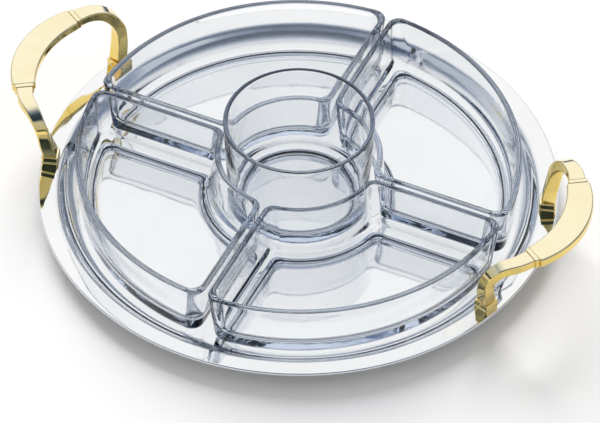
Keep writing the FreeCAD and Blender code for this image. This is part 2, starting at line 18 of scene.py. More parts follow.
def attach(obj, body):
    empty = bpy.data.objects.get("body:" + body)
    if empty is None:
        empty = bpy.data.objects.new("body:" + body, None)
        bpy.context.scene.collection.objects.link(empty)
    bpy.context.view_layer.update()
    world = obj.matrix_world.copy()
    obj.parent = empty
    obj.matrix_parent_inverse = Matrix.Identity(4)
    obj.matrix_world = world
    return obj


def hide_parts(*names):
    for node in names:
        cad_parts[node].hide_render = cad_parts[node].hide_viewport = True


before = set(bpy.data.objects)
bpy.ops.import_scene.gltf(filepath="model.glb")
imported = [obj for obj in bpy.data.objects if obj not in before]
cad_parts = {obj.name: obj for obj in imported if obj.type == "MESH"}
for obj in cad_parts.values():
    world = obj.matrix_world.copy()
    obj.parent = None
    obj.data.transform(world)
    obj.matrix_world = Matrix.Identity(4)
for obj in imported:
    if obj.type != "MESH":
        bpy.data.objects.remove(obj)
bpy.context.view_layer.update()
MM = 0.001
UP = np.array([0.0, 0.0, 1.0])

# %% [markdown]
# ## The camera and the room
# The camera stands four metres away with a long lens, so that the round tray is drawn almost
# without perspective, as in a catalogue.  It looks down at 45 degrees and is turned by 24.5 degrees
# about the tray.  It could be aimed with a constraint; a matrix from three axes is used instead,
# because then its tilt and its small roll are plain to see.

# %% Camera
CAMERA_AZIMUTH = math.radians(24.5)
CAMERA_ELEVATION = math.radians(44.986)
CAMERA_ROLL = math.radians(0.669)
CAMERA_DISTANCE = 4.0
CAMERA_ASIDE, CAMERA_BELOW = 0.0012207, 0.0090766  # metres off the line through the origin
LENS_MM, SENSOR_MM = 351.5, 36.0
CLIP_NEAR, CLIP_FAR = 0.1, 40.0


def turned_about_z(vector, angle):
    """The vector turned by an angle about Z: (x cos - y sin, x sin + y cos, z)."""
    c, s = math.cos(angle), math.sin(angle)
    return np.array([[c, -s, 0], [s, c, 0], [0, 0, 1]]) @ np.asarray(vector, float)


ce, se = math.cos(CAMERA_ELEVATION), math.sin(CAMERA_ELEVATION)
cr, sr = math.cos(CAMERA_ROLL), math.sin(CAMERA_ROLL)
level_right, level_up, ahead = np.array([1, 0, 0]), np.array([0, se, ce]), np.array([0, ce, -se])
right = turned_about_z(cr * level_right + sr * level_up, CAMERA_AZIMUTH)
up = turned_about_z(-sr * level_right + cr * level_up, CAMERA_AZIMUTH)
ahead = turned_about_z(ahead, CAMERA_AZIMUTH)
place = CAMERA_ASIDE * right - CAMERA_BELOW * up - CAMERA_DISTANCE * ahead

camera_data = bpy.data.cameras.new("camera")
camera_data.lens = LENS_MM
camera_data.sensor_width = SENSOR_MM
camera_data.clip_start, camera_data.clip_end = CLIP_NEAR, CLIP_FAR
camera = bpy.data.objects.new("camera", camera_data)
bpy.context.scene.collection.objects.link(camera)
axes = np.eye(4)
axes[:3, 0], axes[:3, 1], axes[:3, 2], axes[:3, 3] = right, up, -ahead, place
camera.matrix_world = Matrix(axes.tolist())
bpy.context.scene.camera = camera
print("camera at", np.round(place, 3))

# %% [markdown]
# ## Materials
# Every finish is a small tree of nodes on Object coordinates, which stay with the piece.  A helper
# makes the tree, the others add what nearly every polished surface has: fine unevenness that
# breaks up its reflections, and a gloss that varies a little from place to place.

# %% Material helpers
def new_material(name):
    """An empty node tree with its output and one Principled shader."""
    material = bpy.data.materials.new(name)
    material.use_nodes = True
    tree = material.node_tree
    tree.nodes.clear()
    output = tree.nodes.new("ShaderNodeOutputMaterial")
    shader = tree.nodes.new("ShaderNodeBsdfPrincipled")
    tree.links.new(shader.outputs["BSDF"], output.inputs["Surface"])
    return material, tree, shader, output


def object_point(tree, stretch=(1, 1, 1)):
    """The piece's own coordinates in metres, stretched along its axes."""
    source = tree.nodes.new("ShaderNodeTexCoord")
    mapping = tree.nodes.new("ShaderNodeMapping")
    mapping.inputs["Scale"].default_value = stretch
    tree.links.new(source.outputs["Object"], mapping.inputs["Vector"])
    return mapping.outputs["Vector"]


def noise(tree, point, scale, detail=2.0, rough=0.5):
    """Smooth noise from 0 to 1; scale is the number of its patches in a metre."""
    node = tree.nodes.new("ShaderNodeTexNoise")
    node.inputs["Scale"].default_value = scale
    node.inputs["Detail"].default_value = detail
    node.inputs["Roughness"].default_value = rough
    tree.links.new(point, node.inputs["Vector"])
    return node.outputs["Fac"]


def remap(tree, value, low, high, from_low=0.3, from_high=0.7):
    """value carried in a straight line from one range to another, and held at its ends."""
    node = tree.nodes.new("ShaderNodeMapRange")
    for name, number in (("From Min", from_low), ("From Max", from_high),
                         ("To Min", low), ("To Max", high)):
        node.inputs[name].default_value = number
    tree.links.new(value, node.inputs["Value"])
    return node.outputs["Result"]


def ramp(tree, value, stops):
    """A colour looked up along a row of (place, colour) stops."""
    node = tree.nodes.new("ShaderNodeValToRGB")
    elements = node.color_ramp.elements
    while len(elements) < len(stops):
        elements.new(0.5)
    for element, (at, colour) in zip(elements, stops):
        element.position = at
        element.color = (*colour, 1.0)
    tree.links.new(value, node.inputs["Fac"])
    return node.outputs["Color"]


def bump(tree, height, distance, strength=1.0, before=None):
    """Normals leaned by a height that stands for a distance in metres."""
    node = tree.nodes.new("ShaderNodeBump")
    node.inputs["Strength"].default_value = strength
    node.inputs["Distance"].default_value = distance
    tree.links.new(height, node.inputs["Height"])
    if before is not None:
        tree.links.new(before, node.inputs["Normal"])
    return node.outputs["Normal"]


# %% [markdown]
# ### Polished steel
# The tray is pressed from sheet and buffed to a mirror.  Close to, such a mirror is never quite
# flat: the press leaves waves a few centimetres long, and the buffing wheel leaves hair-fine
# rings.  The waves are a slow noise, and the rings a fast noise of the distance from the middle.

# %% Tray steel
def make_tray_steel():
    """A mirror whose colour and gloss drift, leaned by slow waves and by rings round the axis."""
    material, tree, shader, _ = new_material("polished_tray_steel")
    link = tree.links.new
    point = object_point(tree)
    spread = tree.nodes.new("ShaderNodeVectorMath")
    spread.operation = "MULTIPLY"
    spread.inputs[1].default_value = (1, 1, 0)
    link(point, spread.inputs[0])
    reach = tree.nodes.new("ShaderNodeVectorMath")
    reach.operation = "LENGTH"
    link(spread.outputs["Vector"], reach.inputs[0])
    rings = tree.nodes.new("ShaderNodeTexNoise")
    rings.noise_dimensions = "1D"
    rings.inputs["Scale"].default_value = 900.0
    rings.inputs["Detail"].default_value = 3.0
    link(reach.outputs["Value"], rings.inputs["W"])
    patches = noise(tree, point, 22.0, 3.0)
    link(ramp(tree, patches, [(0.3, (0.885, 0.89, 0.90)), (0.7, (0.93, 0.935, 0.94))]),
         shader.inputs["Base Color"])
    link(remap(tree, noise(tree, point, 45.0, 4.0), 0.035, 0.085), shader.inputs["Roughness"])
    shader.inputs["Metallic"].default_value = 1.0
    waves = bump(tree, noise(tree, point, 14.0, 1.0), 0.0006, 0.35)
    link(bump(tree, rings.outputs["Fac"], 0.000004, 0.5, waves), shader.inputs["Normal"])
    return material


tray_steel = make_tray_steel()


# %% [markdown]
# ### Gilt
# The handles are polished metal with a pale gold plating.  Plating follows every low wave of the
# polish, so colour and gloss both drift.  A single gold comes out too dark on top or too pale on
# the sides, so light and shade are painted in: a paler gold on faces that look up is a painted
# highlight, a deeper gold on the sides is painted shade, and the face's normal chooses between
# them.

# %% Handle gilt
def make_gilt():
    """A gold that is paler on faces that look up, a painted highlight, and deeper on the sides,
    painted shade, with fine polishing hairs.
    """
    material, tree, shader, _ = new_material("polished_gilt")
    link = tree.links.new
    point = object_point(tree)
    drift = noise(tree, point, 60.0, 2.0)
    # painted highlight: a paler gold for the faces that look up
    painted_highlight_gold = ramp(tree, drift, [(0.3, (0.945, 0.845, 0.57)), (0.7, (0.97, 0.885, 0.64))])
    # painted shade: a deeper gold for the sides
    painted_shade_gold = ramp(tree, drift, [(0.3, (0.80, 0.60, 0.17)), (0.7, (0.88, 0.68, 0.25))])
    facing_up = tree.nodes.new("ShaderNodeSeparateXYZ")
    link(tree.nodes.new("ShaderNodeTexCoord").outputs["Normal"], facing_up.inputs[0])
    blend = tree.nodes.new("ShaderNodeMix")
    blend.data_type = "RGBA"
    # the normal's Z blends from the painted shade on the sides to the painted highlight on top
    link(remap(tree, facing_up.outputs["Z"], 0.0, 1.0, 0.35, 0.85), blend.inputs["Factor"])
    link(painted_shade_gold, blend.inputs["A"])
    link(painted_highlight_gold, blend.inputs["B"])
    link(blend.outputs["Result"], shader.inputs["Base Color"])
    link(remap(tree, noise(tree, point, 160.0, 4.0), 0.05, 0.12), shader.inputs["Roughness"])
    shader.inputs["Metallic"].default_value = 1.0
    polish = bump(tree, noise(tree, point, 70.0, 1.0), 0.0003, 0.25)
    hairs = noise(tree, object_point(tree, (1, 0.08, 1)), 2600.0, 2.0)
    link(bump(tree, hairs, 0.000003, 0.4, polish), shader.inputs["Normal"])
    return material


gilt = make_gilt()


# %% [markdown]
# ### Pressed glass
# Pressed glass is clear, with a breath of blue where it is thick, and its faces keep the gentle
# unevenness of the mould.  Real glass also lets lamplight through to what stands behind it.  A
# path tracer can find that light only by luck, so the shader doesn't bend shadow rays: each face
# lets them pass, dimmed to about two thirds.

# %% Dish glass
def make_glass():
    """Clear glass that turns bluer with its depth, and lets dimmed shadow rays pass unbent."""
    material, tree, shader, output = new_material("clear_pressed_glass")
    link = tree.links.new
    point = object_point(tree)
    shader.inputs["Base Color"].default_value = (1.0, 1.0, 1.0, 1.0)
    shader.inputs["Transmission Weight"].default_value = 1.0
    shader.inputs["IOR"].default_value = 1.52
    link(remap(tree, noise(tree, point, 90.0, 3.0), 0.0, 0.02), shader.inputs["Roughness"])
    mould = bump(tree, noise(tree, point, 28.0, 1.5), 0.0012, 0.35)
    link(bump(tree, noise(tree, point, 120.0, 2.0), 0.00008, 0.4, mould), shader.inputs["Normal"])
    through = tree.nodes.new("ShaderNodeBsdfTransparent")
    through.inputs["Color"].default_value = (0.62, 0.64, 0.67, 1.0)
    rays = tree.nodes.new("ShaderNodeLightPath")
    mix = tree.nodes.new("ShaderNodeMixShader")
    link(rays.outputs["Is Shadow Ray"], mix.inputs[0])
    link(shader.outputs["BSDF"], mix.inputs[1])
    link(through.outputs["BSDF"], mix.inputs[2])
    link(mix.outputs["Shader"], output.inputs["Surface"])
    depth = tree.nodes.new("ShaderNodeVolumeAbsorption")
    depth.inputs["Color"].default_value = (0.14, 0.40, 0.78, 1.0)
    depth.inputs["Density"].default_value = 4.5
    link(depth.outputs["Volume"], output.inputs["Volume"])
    return material


dish_glass = make_glass()


# %% [markdown]
# ### Turned steel
# Studs, screws and washers are plain machine-turned steel, and fine cutter marks blur what they
# reflect.  The marks are noise pressed flat, so they run round the upright screws.  The studs lie
# on their sides, where the marks run across them, but they are hidden inside the handles.

# %% Fastener steel
def make_turned_steel():
    """Grey steel whose colour, gloss and relief all follow the same flat marks."""
    material, tree, shader, _ = new_material("turned_fastener_steel")
    link = tree.links.new
    marks = noise(tree, object_point(tree, (1, 1, 6)), 700.0, 3.0, 0.6)
    link(ramp(tree, marks, [(0.3, (0.46, 0.47, 0.49)), (0.7, (0.62, 0.63, 0.65))]),
         shader.inputs["Base Color"])
    link(remap(tree, marks, 0.24, 0.42), shader.inputs["Roughness"])
    shader.inputs["Metallic"].default_value = 1.0
    link(bump(tree, marks, 0.00002, 0.5), shader.inputs["Normal"])
    return material


turned_steel = make_turned_steel()
print("materials:", [m.name for m in (tray_steel, gilt, dish_glass, turned_steel)])

# %% [markdown]
# ## From arrays to pieces
# A surface is a grid: one way along a profile, the other way round it.  The faces between
# neighbouring rows follow from counting alone, so they are worked out as one array too.  A last
# helper hands a piece to the frame: which body it rides on, which solid it stands for, and which
# finish it takes.

# %% Grid and piece helpers
def ring_quads(rows, columns):
    """Quads of a grid whose rows close round: (i, j), (i, j+1), (i+1, j+1), (i+1, j)."""
    i, j = np.meshgrid(np.arange(rows - 1), np.arange(columns), indexing="ij")
    k = (j + 1) % columns
    corners = [i * columns + j, i * columns + k, (i + 1) * columns + k, (i + 1) * columns + j]
    return np.stack(corners, axis=-1).reshape(-1, 4)


def add_piece(name, points, faces, body, material, finish, *nodes):
    """Makes a piece from an array of points in millimetres and a list of faces.

    The faces are turned round where the signed volume says that they point inwards.
    """
    mesh = bpy.data.meshes.new(name)
    mesh.from_pydata((np.asarray(points) * MM).tolist(), [], faces)
    mesh.polygons.foreach_set("use_smooth", np.ones(len(mesh.polygons), bool))
    shape = bmesh.new()
    shape.from_mesh(mesh)
    if shape.calc_volume(signed=True) < 0:
        bmesh.ops.reverse_faces(shape, faces=shape.faces[:])
        shape.to_mesh(mesh)
    volume = abs(shape.calc_volume(signed=True)) / MM**3 / 1000
    open_edges = sum(not edge.is_manifold for edge in shape.edges)
    shape.free()
    mesh.update()
    piece = bpy.data.objects.new(name, mesh)
    bpy.context.scene.collection.objects.link(piece)
    mesh.materials.append(material)
    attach(piece, body)
    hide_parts(*nodes)
    print(f"{name}: {len(mesh.polygons)} faces, {volume:.1f} cm3, {open_edges} open edges")
    return piece


# %% [markdown]
# ## Rounded profiles
# Tray, bowl and dishes all start from a profile of straight sides whose corners are rounded.  The
# corners could be beveled afterwards, but rounding the line itself gives even strips of faces and
# exact tangents, which glass and mirrors need.

# %% Rounded profile
def rounded_line(corners, side_step=2.5, arc_step=math.radians(9)):
    """Points along a line through (x, y, radius) corners, with each corner rounded.

    Where the line turns by an angle a, both sides are cut back by radius * tan(a / 2), and an arc
    of that radius joins the cuts.  Sides are divided evenly, and so are arcs.
    """
    corners = np.asarray(corners, float)
    spots, radii = corners[:, :2], corners[:, 2]
    ways = np.diff(spots, axis=0)
    ways /= np.linalg.norm(ways, axis=1)[:, None]
    pieces, last = [], spots[0]
    for spot, radius, way_in, way_out in zip(spots[1:-1], radii[1:-1], ways[:-1], ways[1:]):
        turn = math.atan2(way_in[0] * way_out[1] - way_in[1] * way_out[0], way_in @ way_out)
        cut = radius * math.tan(abs(turn) / 2)
        begin = spot - way_in * cut
        pieces.append(divided(last, begin, side_step))
        side = math.copysign(1.0, turn)
        centre = begin + side * radius * np.array([-way_in[1], way_in[0]])
        steps = max(2, math.ceil(abs(turn) / arc_step))
        angles = turn * np.arange(steps) / steps
        spoke = begin - centre
        pieces.append(centre + np.stack([
            spoke[0] * np.cos(angles) - spoke[1] * np.sin(angles),
            spoke[0] * np.sin(angles) + spoke[1] * np.cos(angles)], axis=1))
        last = spot + way_out * cut
    pieces.append(divided(last, spots[-1], side_step))
    pieces.append(spots[-1:])
    return np.concatenate(pieces)


def divided(begin, end, step):
    """Evenly spaced points from begin up to, but without, end."""
    count = max(1, math.ceil(np.linalg.norm(end - begin) / step))
    return begin + (end - begin) * (np.arange(count) / count)[:, None]


def lathe(profile, turns):
    """A closed round solid: (r, z) at every angle t gives (r cos t, r sin t, z).

    The profile starts and ends on the axis, so its two ends are single points, each closed with a
    fan of triangles.
    """
    angle = 2 * np.pi * np.arange(turns) / turns
    rings = profile[1:-1]
    x = rings[:, :1] * np.cos(angle)
    y = rings[:, :1] * np.sin(angle)
    z = np.broadcast_to(rings[:, 1:], x.shape)
    grid = np.stack([x, y, z], axis=-1).reshape(-1, 3)
    poles = np.array([[0, 0, profile[0, 1]], [0, 0, profile[-1, 1]]])
    points = np.concatenate([grid, poles])
    here = np.arange(turns)
    following = (here + 1) % turns
    last_row = (len(rings) - 1) * turns
    first_fan = np.stack([following, here, np.full(turns, len(grid))], axis=1)
    last_fan = np.stack([last_row + here, last_row + following,
                         np.full(turns, len(grid) + 1)], axis=1)
    faces = ring_quads(len(rings), turns).tolist() + first_fan.tolist() + last_fan.tolist()
    return points, faces


# %% [markdown]
# ## The tray
# One sheet of steel, 1.2 mm thick: a flat floor, a hollow wall that sweeps up out of it, and a
# broad flange that is dished by a few degrees, with its edge folded under.  It could be a plane
# with a Solidify modifier; turning one closed profile gives the fold and the lip as well.

# %% Tray
TRAY_RADIUS, LIP_RADIUS, FLANGE_LOW, FLANGE_HIGH = 177.5, 163.5, 11.55, 12.65
STEEL = 1.2
WALL_FOOT = 159.6
HEM_RADIUS = TRAY_RADIUS - 4.5
TRAY_TURNS = 288

tray_profile = rounded_line([
    (0, STEEL, 0),
    (WALL_FOOT - 3.6, STEEL, 17.0),
    (LIP_RADIUS + 0.6, FLANGE_LOW, 6.2),
    (TRAY_RADIUS, FLANGE_HIGH, 1.15),
    (TRAY_RADIUS, FLANGE_HIGH - 2.4, 1.15),
    (HEM_RADIUS, FLANGE_HIGH - 2.75, 0.3),
    (HEM_RADIUS, FLANGE_HIGH - 1.56, 0.3),
    (LIP_RADIUS + 1.3, FLANGE_LOW - 1.14, 5.0),
    (WALL_FOOT - 2.9, 0, 18.2),
    (0, 0, 0),
], side_step=4.0)
points, faces = lathe(tray_profile, TRAY_TURNS)
add_piece("polished_tray", points, faces, "root", tray_steel, "tray_steel", "tray")

# %% [markdown]
# ## The dip bowl
# A heavy tumbler of a bowl: thin walls that lean out a little, a rounded heel, and a thick floor.
# The floor is a lens of clear glass, and it is what bends the light under the dip.

# %% Dip bowl
BOWL_RADIUS, BOWL_HEIGHT, BOWL_WALL = 51.4, 73.5, 3.0
BOWL_TURNS = 192
bowl_profile = rounded_line([
    (0, 0.5, 0),
    (37.0, 0.5, 3.0),
    (39.0, 0, 2.0),
    (47.6, 0, 6.0),
    (BOWL_RADIUS, BOWL_HEIGHT, 1.45),
    (BOWL_RADIUS - BOWL_WALL, BOWL_HEIGHT, 1.45),
    (44.0, 8.0, 9.0),
    (0, 8.6, 0),
], side_step=3.0)
bowl_profile[:, 1] += STEEL
points, faces = lathe(bowl_profile, BOWL_TURNS)
add_piece("clear_dip_bowl", points, faces, "dip_bowl_body", dish_glass, "dish_glass", "dip_bowl")


# %% [markdown]
# ## The quarter-ring dishes
# Each dish is a quarter of a ring with rounded corners.  Every level of it has the same outline,
# only drawn in further, so the whole dish is one grid: round the outline one way, and along a
# profile the other way, which says how far in and how high each row lies.  Four of these outlines,
# each turned by a quarter, leave a narrow gap between neighbours.

# %% Dish outline
DISH_OUTER, DISH_INNER, DISH_GAP = 152.0, 53.0, 2.4
DISH_HEIGHT, DISH_WALL, DISH_FLOOR, DRAFT = 43.5, 4.0, 5.5, math.tan(math.radians(5))


def sector_rows(inset, corner, line_count=26, corner_count=12, outer_count=72, inner_count=34):
    """Rows of a rounded quarter ring, one for each pair of inset and corner radius.

    Beside the axes it keeps half the gap plus the inset, b.  With the outer radius R and the inner
    radius r drawn in by the inset, and a corner radius c, the corner circles stand at y = b + c
    and x = sqrt((R - c)^2 - (b + c)^2) outside, or x = sqrt((r + c)^2 - (b + c)^2) inside.
    The half beyond 45 degrees is the first half with x and y exchanged.
    """
    inset, c = np.asarray(inset)[:, None], np.asarray(corner)[:, None]
    b = DISH_GAP / 2 + inset
    far, near = DISH_OUTER - inset, DISH_INNER + inset
    x_far = np.sqrt((far - c) ** 2 - (b + c) ** 2)
    x_near = np.sqrt((near + c) ** 2 - (b + c) ** 2)
    lean_far, lean_near = np.arctan2(b + c, x_far), np.arctan2(b + c, x_near)

    def share(count):
        return (np.arange(count) / count)[None, :]

    def arc(x, y, radius, start, end, count):
        angle = start + (end - start) * share(count)
        return x + radius * np.cos(angle), y + radius * np.sin(angle)

    quarter = np.pi / 2
    along = x_near + (x_far - x_near) * share(line_count)
    back = x_far + (x_near - x_far) * share(line_count)
    runs = [
        (along, np.broadcast_to(b, along.shape)),
        arc(x_far, b + c, c, -quarter, lean_far, corner_count),
        arc(0, 0, far, lean_far, quarter - lean_far, outer_count),
        arc(b + c, x_far, c, quarter - lean_far, 2 * quarter, corner_count),
        (np.broadcast_to(b, back.shape), back),
        arc(b + c, x_near, c, 2 * quarter, 3 * quarter - lean_near, corner_count),
        arc(0, 0, near, quarter - lean_near, lean_near, inner_count),
        arc(x_near, b + c, c, 2 * quarter + lean_near, 3 * quarter, corner_count),
    ]
    x = np.concatenate([run[0] for run in runs], axis=1)
    y = np.concatenate([run[1] for run in runs], axis=1)
    return x, y


# %% Dishes
DISH_CORNER = 8.3
FLOOR_INSET = 40.0  # the grid stops here, and one flat face closes the floor
wall_foot_in = DISH_WALL + (DISH_HEIGHT - DISH_FLOOR) * DRAFT
dish_profile = rounded_line([
    (FLOOR_INSET, 0.4, 0),
    (13.0, 0.4, 2.5),
    (11.5, 0, 2.0),
    (DISH_HEIGHT * DRAFT, 0, 6.5),
    (0, DISH_HEIGHT, 1.85),
    (DISH_WALL, DISH_HEIGHT, 1.85),
    (wall_foot_in, DISH_FLOOR, 10.5),
    (FLOOR_INSET, DISH_FLOOR, 0),
], side_step=3.0)
corner_radii = np.full(len(dish_profile), DISH_CORNER)
dish_x, dish_y = sector_rows(dish_profile[:, 0], corner_radii)
dish_z = np.broadcast_to(dish_profile[:, 1:] + STEEL, dish_x.shape)
dish_points = np.stack([dish_x, dish_y, dish_z], axis=-1).reshape(-1, 3)
rows, columns = dish_x.shape
dish_faces = ring_quads(rows, columns).tolist()
dish_faces.append(list(range(columns))[::-1])
dish_faces.append(list(range((rows - 1) * columns, rows * columns)))

for turns, side in enumerate(("rear_right", "rear_left", "front_left", "front_right")):
    swung = dish_points @ np.array(
        [turned_about_z(axis, turns * math.pi / 2) for axis in np.eye(3)])
    add_piece(f"clear_{side}_dish", swung, dish_faces, f"{side}_dish_body",
              dish_glass, "dish_glass", f"{side}_dish")


# %% [markdown]
# ## The handles
# A handle is one broad curved grip, an arm at each end of it, and a leg under each arm, all
# squared bars.  So one helper carries a rounded rectangle along a smooth path.  The path, the
# width, the thickness and the way that is up all change together, so a single spline with a
# column for each of them keeps them in step.

# %% Bar helpers
FLAT_POINTS = np.array([-0.9, 0.0, 0.9])
CAP_ROWS = 5


def spline(keys, count):
    """A smooth curve through rows of numbers, spaced by the distance between their first three.

    Between two keys a step h apart it is the cubic (2u^3 - 3u^2 + 1) p0 + (u^3 - 2u^2 + u) h m0
    + (3u^2 - 2u^3) p1 + (u^3 - u^2) h m1, with each slope m taken from the keys around it.
    """
    keys = np.asarray(keys, float)
    steps = np.linalg.norm(np.diff(keys[:, :3], axis=0), axis=1)
    at = np.concatenate([[0.0], np.cumsum(steps)])
    slopes = np.gradient(keys, at, axis=0)
    t = np.linspace(0, at[-1], count)
    i = np.clip(np.searchsorted(at, t, side="right") - 1, 0, len(keys) - 2)
    h = steps[i][:, None]
    u = ((t - at[i]) / steps[i])[:, None]
    return ((2 * u**3 - 3 * u**2 + 1) * keys[i] + (u**3 - 2 * u**2 + u) * h * slopes[i]
            + (3 * u**2 - 2 * u**3) * keys[i + 1] + (u**3 - u**2) * h * slopes[i + 1])


def rounded_rectangle(half_width, half_thick, corner, arc_count=6):
    """Outlines of rounded rectangles, one row for each pair of half sizes.

    In the corner (p, q), with p and q each 1 or -1, a point is (p (w - c) + c cos t,
    q (h - c) + c sin t).  Points near both ends of a side keep its middle flat.
    """
    w, h, c = (np.asarray(a)[:, None] for a in (half_width, half_thick, corner))
    flat = FLAT_POINTS[None, :]
    across, upward = [], []
    for quarter, (p, q) in enumerate(((1, 1), (-1, 1), (-1, -1), (1, -1))):
        t = np.linspace(0, np.pi / 2, arc_count)[None, :] + quarter * np.pi / 2
        across.append(p * (w - c) + c * np.cos(t))
        upward.append(q * (h - c) + c * np.sin(t))
        if p * q > 0:
            across.append(-q * flat * (w - c))
            upward.append(q * h + 0 * flat)
        else:
            across.append(p * w + 0 * flat)
            upward.append(p * flat * (h - c))
    return np.concatenate(across, axis=1), np.concatenate(upward, axis=1)


def squared_bar(path, upright, width, thick, corner, ease=0.5):
    """A bar along a path: centre + across * side + upward * lift at every station.

    side is along x upright and lift is side x along, both made one long.  At each end the bar is
    eased: over the last ease millimetres its outline draws in along a quarter circle.
    """
    along = np.gradient(path, axis=0)
    along /= np.linalg.norm(along, axis=1)[:, None]
    side = np.cross(along, upright)
    side /= np.linalg.norm(side, axis=1)[:, None]
    lift = np.cross(side, along)
    turn = np.linspace(0, np.pi / 2, CAP_ROWS)
    pull_in = ease * (1 - np.sin(turn))
    push_out = ease * (1 - np.cos(turn))
    first = [path[:1] + along[:1] * push_out[:, None], pull_in]
    last = [path[-1:] - along[-1:] * push_out[::-1, None], pull_in[::-1]]
    travel = np.concatenate([[0.0], np.cumsum(np.linalg.norm(np.diff(path, axis=0), axis=1))])
    middle = (travel > ease * 1.5) & (travel < travel[-1] - ease * 1.5)
    order = np.concatenate([np.zeros(CAP_ROWS, int), np.flatnonzero(middle),
                            np.full(CAP_ROWS, len(path) - 1)])
    centres = np.concatenate([first[0], path[middle], last[0]])
    shrink = np.concatenate([first[1], np.zeros(middle.sum()), last[1]])
    half_w, half_t = width[order] / 2 - shrink, thick[order] / 2 - shrink
    s, t = rounded_rectangle(half_w, half_t, np.minimum(corner[order], half_t * 0.9))
    grid = (centres[:, None] + s[..., None] * side[order][:, None]
            + t[..., None] * lift[order][:, None])
    rows, columns = s.shape
    faces = ring_quads(rows, columns).tolist()
    faces.append(list(range(columns))[::-1])
    faces.append(list(range((rows - 1) * columns, rows * columns)))
    return grid.reshape(-1, 3), faces


# %% [markdown]
# ### Where the handles stand
# The same few sizes place every piece of a handle: the bend of the grip, the angle at which it
# ends, and the foot's place on the flange.  They are worked out for the handle at +X.  The one at
# -X is the same, turned half round.

# %% Handle places
GRIP_REACH, GRIP_TOP, GRIP_BEND, GRIP_THICK = 200.5, 62.6, 67.0, 7.0
GRIP_ANGLE, GRIP_WIDTH, GRIP_END_WIDTH = math.radians(33.5), 19.6, 16.0
FERRULE_LENGTH, FERRULE_WIDTH, FERRULE_THICK, FERRULE_BARREL = 3.4, 13.4, 7.6, 0.25
FOOT_RADIUS, FOOT_ANGLE, FLANGE = 170.5, math.radians(17.8), 12.0
FOOT_HEIGHT, FOOT_WIDTH, FOOT_BEDDING = 9.6, 11.4, 0.9
GROOVE_DEPTH, GROOVE_REACH = 1.3, 0.45
ARM_WIDTH, ARM_THICK, SHOULDER_WIDTH, SHOULDER_THICK, LEG_WIDTH = 11.6, 6.6, 8.6, 8.0, 9.4
SHOULDER_LEAN, SHOULDER_SPREAD, SHOULDER_RISE = 3.0, 6.2, 33.5
ARM_RUN, ARM_HUMP = 8.8, 4.4


def grip_end(across):
    """The middle of the grip's end face and the way out of it, at y > 0 or y < 0."""
    c, s = math.cos(GRIP_ANGLE), math.sin(GRIP_ANGLE)
    centre = np.array([GRIP_REACH - GRIP_BEND + GRIP_BEND * c, across * GRIP_BEND * s,
                       GRIP_TOP - GRIP_THICK / 2])
    return centre, np.array([-s, across * c, 0.0])


def foot_top(across):
    """The middle of the foot's top."""
    return np.array([FOOT_RADIUS * math.cos(FOOT_ANGLE),
                     across * FOOT_RADIUS * math.sin(FOOT_ANGLE), FLANGE + FOOT_HEIGHT])


# %% [markdown]
# ### Grip
# The grip is a flat bar on an arc, broadest at its middle, where the fingers close round it.

# %% Grip
def grip_surface():
    """The bar along the arc (reach - bend + bend cos a, bend sin a), its width falling as a^2."""
    angle = np.linspace(-GRIP_ANGLE, GRIP_ANGLE, 65)
    path = np.stack([GRIP_REACH - GRIP_BEND + GRIP_BEND * np.cos(angle),
                     GRIP_BEND * np.sin(angle),
                     np.full_like(angle, GRIP_TOP - GRIP_THICK / 2)], axis=1)
    width = GRIP_WIDTH - (GRIP_WIDTH - GRIP_END_WIDTH) * (angle / GRIP_ANGLE) ** 2
    thick = np.full_like(angle, GRIP_THICK)
    return squared_bar(path, UP, width, thick, np.full_like(angle, 1.7), ease=0.6)


# %% [markdown]
# ### Arm and leg
# An arm leaves the grip in line with it, thins, humps over the shoulder, and comes down as the
# leg.  Its upper face turns outwards on the way, which gives the bar its slow twist.

# %% Arm
def arm_surface(across):
    """A bar along the spline through six key rows, from the ferrule down to the foot's top.

    Each row holds a place, the way that is up there, a width, a thickness and a corner radius.
    """
    end, way_out = grip_end(across)
    start = end + way_out * FERRULE_LENGTH
    straight = start + way_out * ARM_RUN
    foot = foot_top(across)
    shoulder = np.array([foot[0] + SHOULDER_LEAN, foot[1] + across * SHOULDER_SPREAD,
                         FLANGE + SHOULDER_RISE])
    over = (straight + shoulder) / 2 + (0, across * 1.5, ARM_HUMP)
    knee = 0.45 * foot + 0.55 * shoulder + (-0.6, across * 1.0, 0)
    outward = np.array([-math.sin(FOOT_ANGLE), across * math.cos(FOOT_ANGLE), 0.0])
    slant = UP * 0.9 + way_out * 0.4
    keys = [
        (*start, *UP, ARM_WIDTH, ARM_THICK, 1.2),
        (*(straight - UP * 0.3), *UP, 10.7, 7.0, 1.2),
        (*over, *slant, 9.35, 7.65, 1.2),
        (*shoulder, *(way_out * 0.95 + UP * 0.3), SHOULDER_WIDTH, SHOULDER_THICK, 1.2),
        (*knee, *(outward + way_out * 0.6), 9.0, 8.7, 1.1),
        (*foot, *outward, LEG_WIDTH, LEG_WIDTH, 1.0),
    ]
    rows = spline(keys, 90)
    return squared_bar(rows[:, :3], rows[:, 3:6], rows[:, 6], rows[:, 7], rows[:, 8], ease=0.45)


# %% [markdown]
# ### Ferrule and foot
# A short band separates grip from arm, and a grooved block carries each leg.  Both are short
# bars whose size changes along them.  The eased ends leave the fine shadow lines between pieces.

# %% Ferrule and foot
def ferrule_surface(across):
    """A slightly barrelled band: from its middle it thins with the square of the distance."""
    end, way_out = grip_end(across)
    travel = np.linspace(0, FERRULE_LENGTH, 13)
    barrel = FERRULE_BARREL * (2 * travel / FERRULE_LENGTH - 1) ** 2
    path = end + way_out * travel[:, None]
    return squared_bar(path, UP, FERRULE_WIDTH - barrel, FERRULE_THICK - barrel,
                       np.full_like(travel, 0.9), ease=0.5)


